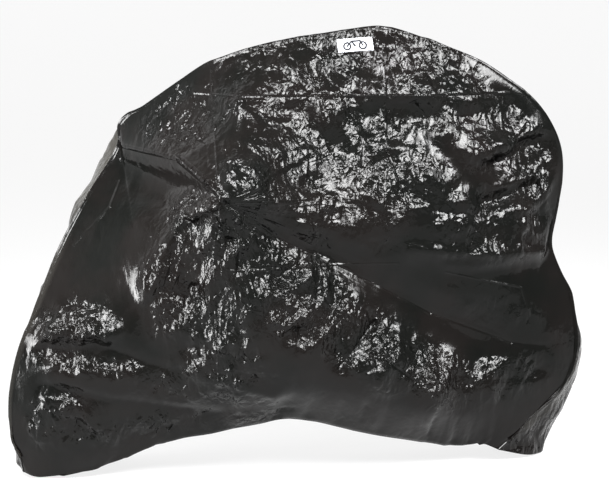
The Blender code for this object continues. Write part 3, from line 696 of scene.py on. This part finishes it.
def film_grids(film):
    """Near and far panel as rows (hem curl, body, flange) by columns, with their crinkle strength."""
    table, far_table = (np.array([row[1:] for row in rows]) for rows in (SECTIONS, FAR))
    u = np.linspace(0, 1, film.columns)
    t = np.linspace(0, 1, film.rows)[:, None]
    from_end = np.minimum(u, 1 - u)
    rows = spline(table, u)
    for _, column, height, run, size, seed in UNEVEN:
        rows[:, column] += height * smooth(from_end, 0.02, 0.10) * facets(u * run, u * 0, size, 0, 1, seed)
    seam, near_hem, far_hem = rows[:, :3], rows[:, 3:6], rows[:, 6:]
    near = near_body(table, seam, near_hem, u, t)
    stations = spline(far_table, u)
    far = far_profile(np.stack([seam, stations[:, :3], stations[:, 3:], far_hem]), 1 - t[:, 0])
    across, outward = flange_directions(seam, near, far)

    inward = []
    for hem, side in ((near_hem, -1), (far_hem, 1)):
        run = unit(np.gradient(hem[:, :2], axis=0))
        inward.append(np.stack([run[:, 1], -run[:, 0]], 1) * side)
    shared = unit(inward[0] + inward[1])  # both hems turn in the same way where they meet
    own = np.clip(from_end * 16, 0, 1)[:, None]
    reach = np.clip(0.30 * np.linalg.norm(far_hem - near_hem, axis=1) / film.curl, 0.05, 1)[:, None]
    apart = film.thickness / 2 + SEAM_GAP / 2
    at_ends = (1 - np.clip(from_end * 50, 0, 1))[None, :, None]
    uneven = 0.75 + 0.25 * facets(u * FLANGE_RUN, u * 0, FLANGE_CELL, 0, 1, FLANGE_SEED)[:, None]

    result = []
    for body, side, turn in ((near, -1, inward[0]), (far, 1, inward[1])):
        px, pz = body[..., 0], body[..., 2]
        strength = crinkle_strength(px, pz) if side < 0 else [np.full_like(px, k) for k in FAR_CRINKLE]
        layers = {
            "crinkle": strength[2],
            "gather": grip_strength(px, pz) * (side < 0),
            "near": np.full_like(px, side < 0),
        }
        lift = side * apart * (1.7 - 0.7 * own) * across
        body = crinkled(body, side, strength, u, t, film.crinkle)
        body = body + lift[None] * np.maximum(t[..., None] ** 40, at_ends)
        body[-1] = seam + lift
        flange = body[-1] + outward * film.flange * uneven
        curl = curled_hem(body[0], unit(turn * own + shared * (1 - own)), film, reach)
        for key, value in layers.items():
            layers[key] = np.concatenate([np.repeat(value[:1], film.curl_rows, 0), value, value[-1:]])
        result.append((np.concatenate([curl, body, flange[None]]), layers))
    return result


# ---------------------------------------------------------------- node helper


class Socket:
    """A node output that adds, multiplies and so on by building Math nodes."""

    def __init__(self, shader, out):
        self.shader, self.out = shader, out

    def _math(self, operation, *values, clamp=False):
        return self.shader.node("ShaderNodeMath", {"operation": operation, "use_clamp": clamp}, values=values)

    def __abs__(self):
        return self._math("ABSOLUTE", self)

    def turn(self, other):
        """Angle of the point (other, self) round the origin."""
        return self._math("ARCTAN2", self, other)

    def __add__(self, other):
        return self._math("ADD", self, other)

    def __radd__(self, other):
        return self._math("ADD", other, self)

    def __sub__(self, other):
        return self._math("SUBTRACT", self, other)

    def __rsub__(self, other):
        return self._math("SUBTRACT", other, self)

    def __mul__(self, other):
        return self._math("MULTIPLY", self, other)

    def __rmul__(self, other):
        return self._math("MULTIPLY", other, self)

    def __truediv__(self, other):
        return self._math("DIVIDE", self, other)

    def __rtruediv__(self, other):
        return self._math("DIVIDE", other, self)

    def __pow__(self, other):
        return self._math("POWER", self, other)

    def ramp(self, low, high):
        """0 below low, 1 above high, straight between."""
        return self._math("MULTIPLY_ADD", self, 1 / (high - low), -low / (high - low), clamp=True)

    def larger(self, other):
        return self._math("MAXIMUM", self, other)


class Shader:
    """The node tree of a material or of the surroundings, with one method that makes any node."""

    def __init__(self, owner, surface="Principled BSDF"):
        owner.use_nodes = True
        self.owner, self.tree = owner, owner.node_tree
        self.surface = self.tree.nodes[surface]

    def join(self, value, slot):
        if isinstance(value, Socket):
            self.tree.links.new(value.out, slot)
        else:
            slot.default_value = value

    def node(self, kind, settings=None, output=0, values=(), **sockets):
        """Settings first, then the sockets: values in order, the rest by name."""
        made = self.tree.nodes.new(kind)
        for key, value in (settings or {}).items():
            setattr(made, key, value)
        for slot, value in zip(made.inputs, values):
            self.join(value, slot)
        for key, value in sockets.items():
            self.join(value, made.inputs[key.replace("_", " ")])
        return Socket(self, made.outputs[output])

    def mix(self, factor, low, high):
        return self.node("ShaderNodeMix", {"data_type": "RGBA"}, "Result", Factor=factor, A=low, B=high)

    def vector(self, operation, *values):
        return self.node("ShaderNodeVectorMath", {"operation": operation}, values=values)

    def split(self, vector, part):
        return self.node("ShaderNodeSeparateXYZ", output=part, values=(vector,))

    def set(self, **sockets):
        for key, value in sockets.items():
            self.join(value, self.surface.inputs[key.replace("_", " ")])


def film_material(name, film):
    """Glossy black film: crinkles, gathers and creases from the pack, brown-grey drift in colour, and a painted
    backlight that lightens the colour where one layer stands against the light.
    """
    m = Shader(bpy.data.materials.new(name))
    place = m.node("ShaderNodeTexCoord", output="Object")
    crinkle, gather, near, painted_backlight = (
        m.node("ShaderNodeAttribute", {"attribute_name": layer}, output="Fac")
        for layer in ("crinkle", "gather", "near", "painted_backlight")
    )
    x, z = m.split(place, 0), m.split(place, 2)

    def cells(at):
        """Cells of flat facets, each a peak or a dip of its own height, 0 along every border."""
        same = {"Vector": at, "Scale": 1.0}
        rise = m.node("ShaderNodeTexVoronoi", {"feature": "DISTANCE_TO_EDGE"}, "Distance", **same)
        pick = m.node("ShaderNodeTexVoronoi", {"feature": "F1"}, "Color", **same)
        return rise * (m.split(pick, 0) * 2.0 - 1.0)

    def drifting(size, amount):
        drift = m.node("ShaderNodeTexNoise", {}, "Color", Vector=place, Scale=0.35 / size, Detail=1.0)
        return m.vector("MULTIPLY_ADD", drift, (size * amount,) * 3, place)

    patch = m.node("ShaderNodeTexNoise", {}, "Fac", Vector=place, Scale=11.0, Detail=2.0)
    share = crinkle * (patch.ramp(0.40, 0.56) * 0.5 + 0.5) + 0.03
    height = 0.0
    for _, size, slope, *stretch in WRINKLES:
        at = m.vector("MULTIPLY", drifting(size, 1.6), tuple(1 / (size * k) for k in stretch))
        height = height + cells(at) * (size * slope)
    height = height * share

    at = drifting(0.08, 0.35)
    dx, dz = m.split(at, 0) - (GRIP[0] + DRIFT_SHIFT), m.split(at, 2) - (GRIP[1] + DRIFT_SHIFT)
    reach = (dx * dx + dz * dz) ** 0.5
    turn = dz.turn(dx)
    for _, turns, lengths, slope in GATHERS:
        at = m.node("ShaderNodeCombineXYZ", X=turn * turns, Y=reach * lengths)
        height = height + cells(at) * reach * gather * (slope / turns)

    for _, x0, z0, x1, z1, tall, wide in PACKED:
        span = math.hypot(x1 - x0, z1 - z0)
        ax, az = (x1 - x0) / span, (z1 - z0) / span
        along = (x - x0) * ax + (z - z0) * az
        beyond = (along * -1.0).larger(along - span).larger(0.0)
        off = abs((x - x0) * -az + (z - z0) * ax) + beyond
        height = height + (1.0 - off.ramp(0.0, wide)) * near * tall
    bump = m.node("ShaderNodeBump", {}, "Normal", Strength=1.0, Distance=1.0, Height=height)

    drift = m.node("ShaderNodeTexNoise", {}, "Fac", Vector=place, Scale=4.5, Detail=3.0)
    base = m.mix(drift.ramp(0.42, 0.58), tuple(film.black), tuple(film.brown))
    # Painted backlight: the base colour is lightened towards the single-layer colour where one layer of film stands
    # against the light
    base = m.mix(painted_backlight, base, tuple(film.single))
    haze = m.node("ShaderNodeTexNoise", {}, "Fac", Vector=place, Scale=30.0, Detail=3.0)
    m.set(Base_Color=base, Roughness=haze.ramp(0.3, 0.7) * 0.07 + film.roughness, Normal=bump, IOR=1.28, Metallic=0.0)
    return m.owner


def sticker_material(name, label):
    """Pale matt sticker with a plain dark drawing of a two-wheeler."""
    m = Shader(bpy.data.materials.new(name))
    place = m.node("ShaderNodeUVMap", {"uv_map": "label"}, "UV")
    x, y = m.split(place, 0), m.split(place, 1)

    def ring(cx, cy, radius, width):
        gap = ((x - cx) ** 2.0 + (y - cy) ** 2.0) ** 0.5 - radius
        return 1.0 - (gap * gap).ramp(width * width * 0.6, width * width * 1.4)

    def bar(x0, y0, x1, y1, width):
        dx, dy = x1 - x0, y1 - y0
        span = math.hypot(dx, dy)
        along = (x - x0) * (dx / span) + (y - y0) * (dy / span)
        side = (x - x0) * (-dy / span) + (y - y0) * (dx / span)
        inside = (along - span / 2) * (along - span / 2)
        return (1.0 - (side * side).ramp(width**2 * 0.6, width**2 * 1.4)) * (
            1.0 - inside.ramp((span / 2) ** 2, (span / 2 + width) ** 2)
        )

    marks = [
        ring(-0.022, -0.003, 0.0095, 0.0023),
        ring(0.022, -0.003, 0.0095, 0.0023),
        bar(-0.022, -0.003, -0.008, 0.011, 0.0023),
        bar(-0.008, 0.010, 0.016, 0.010, 0.0023),
        bar(-0.008, 0.010, 0.001, -0.004, 0.0023),
        bar(0.022, -0.003, 0.015, 0.012, 0.0023),
    ]
    ink = marks[0]
    for mark in marks[1:]:
        ink = ink.larger(mark)
    m.set(Base_Color=m.mix(ink, tuple(label.paper), tuple(label.ink)), Roughness=0.65, IOR=1.2)
    return m.owner


# ---------------------------------------------------------------- pieces


def link(name, mesh):
    data = bpy.data.meshes.new(name)
    mesh.to_mesh(data)
    mesh.free()
    piece = bpy.data.objects.new(name, data)
    bpy.context.scene.collection.objects.link(piece)
    return piece


def film_piece(name, grid, layers, side, film):
    """A create_grid sheet laid on the rows and columns, then given its thickness."""
    rows, columns = grid.shape[:2]
    mesh = bmesh.new()
    bmesh.ops.create_grid(mesh, x_segments=columns - 1, y_segments=rows - 1, size=1)
    held = {key: mesh.verts.layers.float.new(key) for key in layers}
    # Painted backlight share per vertex, which lightens the film's base colour
    painted_backlight = mesh.verts.layers.float.new("painted_backlight")
    for vert in mesh.verts:
        j = round((vert.co.x + 1) / 2 * (columns - 1))
        i = round((vert.co.y + 1) / 2 * (rows - 1))
        vert.co = Vector(grid[i, j])
        for key, layer in held.items():
            vert[layer] = layers[key][i, j]
        vert[painted_backlight] = painted_backlight_share(grid[i, j], i, rows, side)
    mesh.normal_update()
    if sum(face.normal.y * face.calc_area() for face in mesh.faces) * side < 0:
        bmesh.ops.reverse_faces(mesh, faces=mesh.faces)
    for face in mesh.faces:
        face.smooth = True
    piece = link(name, mesh)
    thicken = piece.modifiers.new("film", "SOLIDIFY")
    thicken.thickness = film.thickness
    thicken.offset = 0
    return piece


def painted_backlight_share(point, i, rows, side):
    """Share of painted backlight that lightens the base colour: 1 where one layer of film alone stands against the
    light, 0 where film lies behind film.
    """
    x, _, z = point
    from_seam = (rows - 2 - i) / rows
    if side > 0:
        front = smooth(-x, 0.36, 0.50) * smooth(z, 0.62, 0.80)
        rear = smooth(x, 0.60, 0.66) * (1 - smooth(z, 0.24, 0.34))
        top = smooth(z, 1.0, 1.08) * 0.35 * (1 - smooth(x, -0.1, 0.1))
        near_seam = 1 - smooth(from_seam, 0.14, 0.30)
        return float(near_seam * max(front * 0.75, rear * 0.35, top))
    return float(0.30 * (1 - smooth(from_seam, 0.0, 0.035)) * smooth(-x, 0.62, 0.72))


class COVER_OT_panels(bpy.types.Operator):
    """Make the near and the far film panel"""

    bl_idname = "cover.panels"
    bl_label = "Film panels"
    bl_options = {"REGISTER", "UNDO"}

    def execute(self, context):
        film = context.scene.cover_film
        skin = film_material("black_film", film)
        for name, side, (grid, layers) in zip(("near", "far"), (-1, 1), film_grids(film)):
            if f"panel_{name}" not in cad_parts:
                raise RuntimeError(f"the frame has no panel_{name}")
            piece = film_piece(f"film_{name}", grid, layers, side, film)
            piece.data.materials.append(skin)
            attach(piece, "root")
            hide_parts(f"panel_{name}")
        return {"FINISHED"}


class COVER_OT_label(bpy.types.Operator):
    """Make the label that lies on the near panel"""

    bl_idname = "cover.label"
    bl_label = "Label"
    bl_options = {"REGISTER", "UNDO"}

    def execute(self, context):
        own = context.scene.cover_label
        panel = bpy.data.objects.get("film_near")
        if panel is None:
            raise RuntimeError("make the film panels before the label")
        context.view_layer.update()
        tree = BVHTree.FromObject(panel, context.evaluated_depsgraph_get())
        wide, high, thick = own.wide, own.high, own.thick
        cos, sin = math.cos(own.turn), math.sin(own.turn)
        mesh = bmesh.new()
        bmesh.ops.create_grid(mesh, x_segments=own.across, y_segments=own.down, size=0.5)
        uv = mesh.loops.layers.uv.new("label")
        for face in mesh.faces:
            for loop in face.loops:
                loop[uv].uv = (loop.vert.co.x * wide, loop.vert.co.y * high)
        out = Vector((0, -1, 0.25)).normalized()
        heights = {}
        for vert in mesh.verts:
            a, b = vert.co.x * wide, vert.co.y * high
            start = Vector((own.x + a * cos - b * sin, -2, own.z + a * sin + b * cos))
            hit = tree.ray_cast(start, Vector((0, 1, 0)))[0]
            if hit is None:
                raise RuntimeError("the label misses the near panel")
            heights[vert.index] = hit
        for vert in mesh.verts:
            vert.co = heights[vert.index] + out * (own.gap + thick / 2)
        for _ in range(6):
            bmesh.ops.smooth_vert(mesh, verts=mesh.verts, factor=0.5, use_axis_y=True)
        mesh.normal_update()
        if sum(face.normal.y for face in mesh.faces) > 0:
            bmesh.ops.reverse_faces(mesh, faces=mesh.faces)
        for face in mesh.faces:
            face.smooth = True
        piece = link("label_plate", mesh)
        thicken = piece.modifiers.new("plate", "SOLIDIFY")
        thicken.thickness = thick
        thicken.offset = 0
        piece.data.materials.append(sticker_material("sticker", own))
        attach(piece, "root")
        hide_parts("label")
        return {"FINISHED"}


def studio_light(name, size, power, at, toward):
    data = bpy.data.lights.new(name, "AREA")
    data.shape = "RECTANGLE"
    data.size, data.size_y = size
    data.energy = power
    data.spread = LAMP_SPREAD
    lamp = bpy.data.objects.new(name, data)
    bpy.context.scene.collection.objects.link(lamp)
    lamp.location = at
    lamp.rotation_euler = (Vector(toward) - Vector(at)).to_track_quat("-Z", "Y").to_euler()


class COVER_OT_stage(bpy.types.Operator):
    """Make the camera, the pale floor and the studio light"""

    bl_idname = "cover.stage"
    bl_label = "Stage"
    bl_options = {"REGISTER", "UNDO"}

    def execute(self, context):
        own = context.scene.cover_stage
        az, el = own.azimuth, own.elevation
        back = Vector((math.sin(az) * math.cos(el), -math.cos(az) * math.cos(el), math.sin(el)))
        lens = bpy.data.cameras.new("camera")
        lens.lens = own.lens
        camera = bpy.data.objects.new("camera", lens)
        context.scene.collection.objects.link(camera)
        camera.location = Vector(own.target) + back * own.distance
        camera.rotation_euler = (-back).to_track_quat("-Z", "Y").to_euler()
        context.scene.camera = camera

        mesh = bmesh.new()
        under = Matrix.Translation((0, 0, -FLOOR_DROP))
        bmesh.ops.create_grid(mesh, x_segments=1, y_segments=1, size=own.floor, matrix=under)
        floor = link("floor", mesh)
        paint = Shader(bpy.data.materials.new("floor_paint"))
        paint.set(Base_Color=(0.16, 0.16, 0.16, 1), Roughness=0.9, Emission_Color=(1, 1, 1, 1), Emission_Strength=0.82)
        floor.data.materials.append(paint.owner)

        world = bpy.data.worlds.new("studio")
        around = Shader(world, "Background")
        toward = around.node("ShaderNodeTexCoord", output="Generated")
        behind, left = (
            around.node(
                "ShaderNodeMapRange",
                {"interpolation_type": "SMOOTHSTEP"},
                "Result",
                Value=around.split(toward, axis),
                From_Min=low,
                From_Max=high,
                To_Min=least,
                To_Max=most,
            )
            for axis, low, high, least, most in SURROUNDINGS
        )
        around.set(Color=(1, 1, 1, 1), Strength=behind.larger(left))
        context.scene.world = world
        context.scene.view_settings.view_transform = "Standard"
        for lamp in LAMPS:
            studio_light(*lamp)
        return {"FINISHED"}


class COVER_PT_tools(bpy.types.Panel):
    bl_idname = "COVER_PT_tools"
    bl_label = "Bicycle cover"
    bl_space_type = "VIEW_3D"
    bl_region_type = "UI"
    bl_category = "Cover"

    def draw(self, context):
        for group in (context.scene.cover_film, context.scene.cover_label, context.scene.cover_stage):
            box = self.layout.box()
            for key in group.__annotations__:
                box.prop(group, key)
        for operator in (COVER_OT_panels, COVER_OT_label, COVER_OT_stage):
            self.layout.operator(operator.bl_idname)


GROUPS = (("cover_film", CoverFilm), ("cover_label", CoverLabel), ("cover_stage", CoverStage))
CLASSES = tuple(group for _, group in GROUPS) + (COVER_OT_panels, COVER_OT_label, COVER_OT_stage, COVER_PT_tools)


def register():
    for cls in CLASSES:
        bpy.utils.register_class(cls)
    for name, group in GROUPS:
        setattr(bpy.types.Scene, name, PointerProperty(type=group))


def unregister():
    for name, _ in GROUPS:
        delattr(bpy.types.Scene, name)
    for cls in reversed(CLASSES):
        bpy.utils.unregister_class(cls)


def main():
    register()
    bpy.ops.cover.panels()
    bpy.ops.cover.label()
    bpy.ops.cover.stage()


if __name__ == "__main__":
    main()
